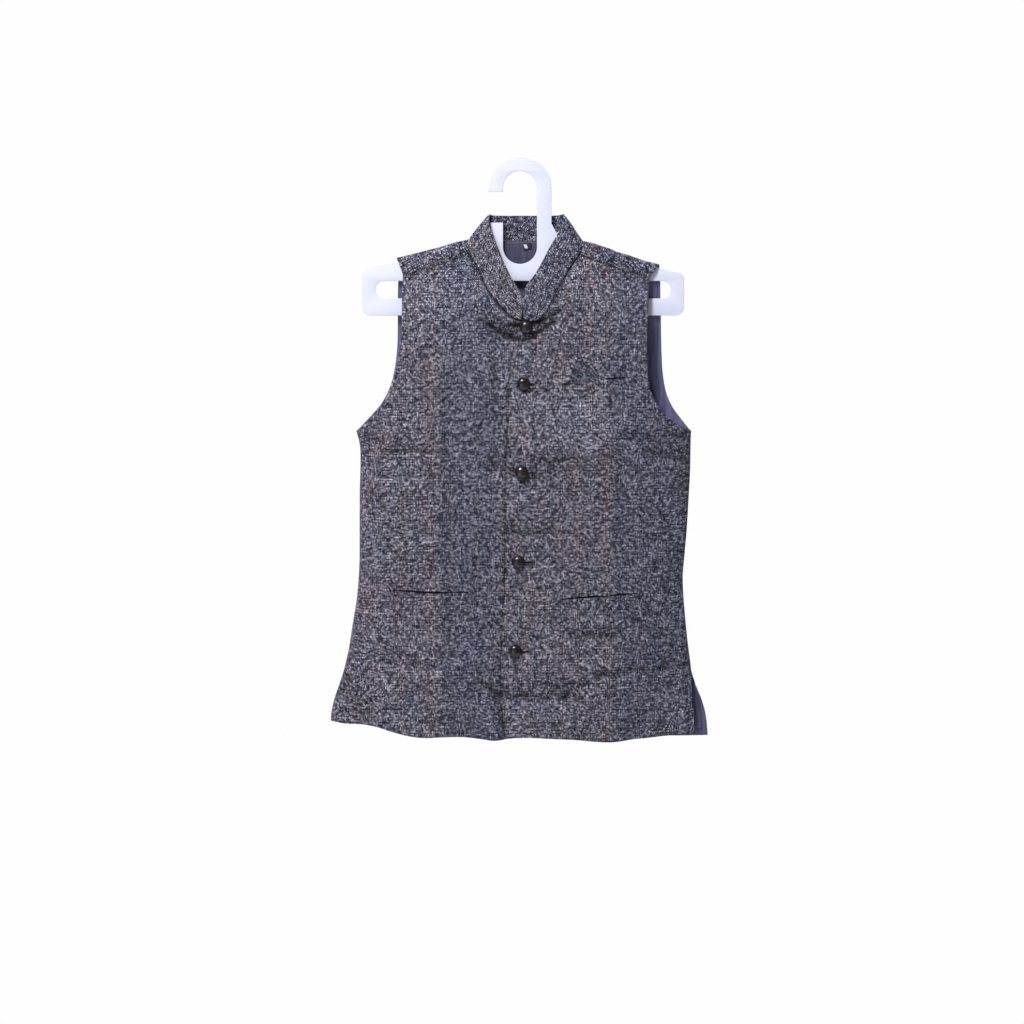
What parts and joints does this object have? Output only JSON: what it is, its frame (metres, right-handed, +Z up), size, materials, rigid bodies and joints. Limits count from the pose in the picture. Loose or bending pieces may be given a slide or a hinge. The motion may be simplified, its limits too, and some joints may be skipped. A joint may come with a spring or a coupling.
{
  "type": "nehru jacket on a hanger",
  "caption": "Sleeveless band-collar jacket, buttoned up the front with welt pockets and side vents, hanging on a flat sheet hanger.",
  "frame": {"origin": "inner top of the hanger's hook, where a rail, nail or peg carries it, midway through the sheet", "axes": "+Z up, +X towards the wearer's left, -Y the way the jacket faces; the hanger's sheet lies in the XZ plane"},
  "size_m": [0.5462, 0.0624, 0.8477],
  "materials": {
    "melange_cloth": "plain weave of slubby pale grey weft and dark navy warp, dry matt handle",
    "lining_cloth": "smooth dark navy lining with a faint sheen",
    "tab_cloth": "small plain woven tab",
    "button_plastic": "dark brown-black domed buttons, polished",
    "hanger_plastic": "white sheet plastic, slightly glossy"
  },
  "bodies": {
    "root": {"back": "melange_cloth", "front_right": "melange_cloth", "front_left": "melange_cloth", "collar": "melange_cloth", "welt_breast": "melange_cloth", "welt_right": "melange_cloth", "welt_left": "melange_cloth", "pocket_square": "melange_cloth", "lining_back": "lining_cloth", "size_tab": "tab_cloth", "button_1": "button_plastic", "button_2": "button_plastic", "button_3": "button_plastic", "button_4": "button_plastic", "button_5": "button_plastic", "hanger": "hanger_plastic"}
  },
  "joints": []
}
